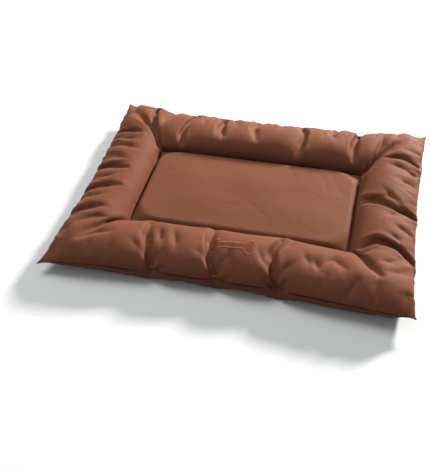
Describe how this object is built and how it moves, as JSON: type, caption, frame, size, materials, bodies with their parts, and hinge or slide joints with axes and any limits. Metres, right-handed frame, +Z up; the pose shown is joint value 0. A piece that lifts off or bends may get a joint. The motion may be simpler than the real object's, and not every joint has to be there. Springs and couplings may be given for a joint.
{
  "type": "pet cushion bed",
  "caption": "Rectangular pet cushion bed: a flat padded centre framed by a fat stuffed border, with a zip along the lower back edge.",
  "frame": {"origin": "centre of the underside, on the floor that the bed rests on", "axes": "+X along the long side, to the right seen from the front, +Y from the front to the back where the zip is, +Z up"},
  "size_m": [1.0024, 0.7018, 0.0984],
  "materials": {
    "cover_fabric": "smooth matte-satin woven polyester, chocolate brown",
    "base_fabric": "coated woven polyester, a little duller than the top",
    "polyester_fill": "off-white hollow fibre wadding",
    "sewing_thread": "dark brown polyester thread",
    "embroidery_thread": "copper brown embroidery thread with a soft shine",
    "label_satin": "blank off-white satin",
    "zip_tape_cloth": "dark brown woven zip tape",
    "zip_coil_nylon": "dark brown nylon coil",
    "zip_metal": "antique finish on cast zinc",
    "pull_rubber": "moulded dark brown rubber"
  },
  "bodies": {
    "cushion": {"base_panel": "base_fabric", "border_top_panel": "cover_fabric", "centre_top_panel": "cover_fabric", "centre_fill_pad": "polyester_fill", "bolster_front": "polyester_fill", "bolster_right": "polyester_fill", "bolster_back": "polyester_fill", "bolster_left": "polyester_fill", "quilting_thread": "sewing_thread", "outer_seam_thread": "sewing_thread", "embroidered_emblem": "embroidery_thread", "care_label": "label_satin", "zip_tape_upper": "zip_tape_cloth", "zip_tape_lower": "zip_tape_cloth", "zip_coil_upper": "zip_coil_nylon", "zip_coil_lower": "zip_coil_nylon", "zip_stop_closed_end": "zip_metal", "zip_stop_open_end": "zip_metal"},
    "slider": {"zip_slider": "zip_metal"},
    "pull": {"zip_pull_ring": "zip_metal", "zip_pull_tab": "pull_rubber"}
  },
  "joints": [
    {"name": "zip_travel", "type": "slide", "parent": "cushion", "child": "slider", "axis": [-1, 0, 0], "range_m": [0, 0.55]},
    {"name": "pull_swing", "type": "hinge", "parent": "slider", "child": "pull", "pos_m": [0.276, 0.3367, 0.038], "axis": [1, 0, 0], "range_deg": [0, 150]}
  ]
}
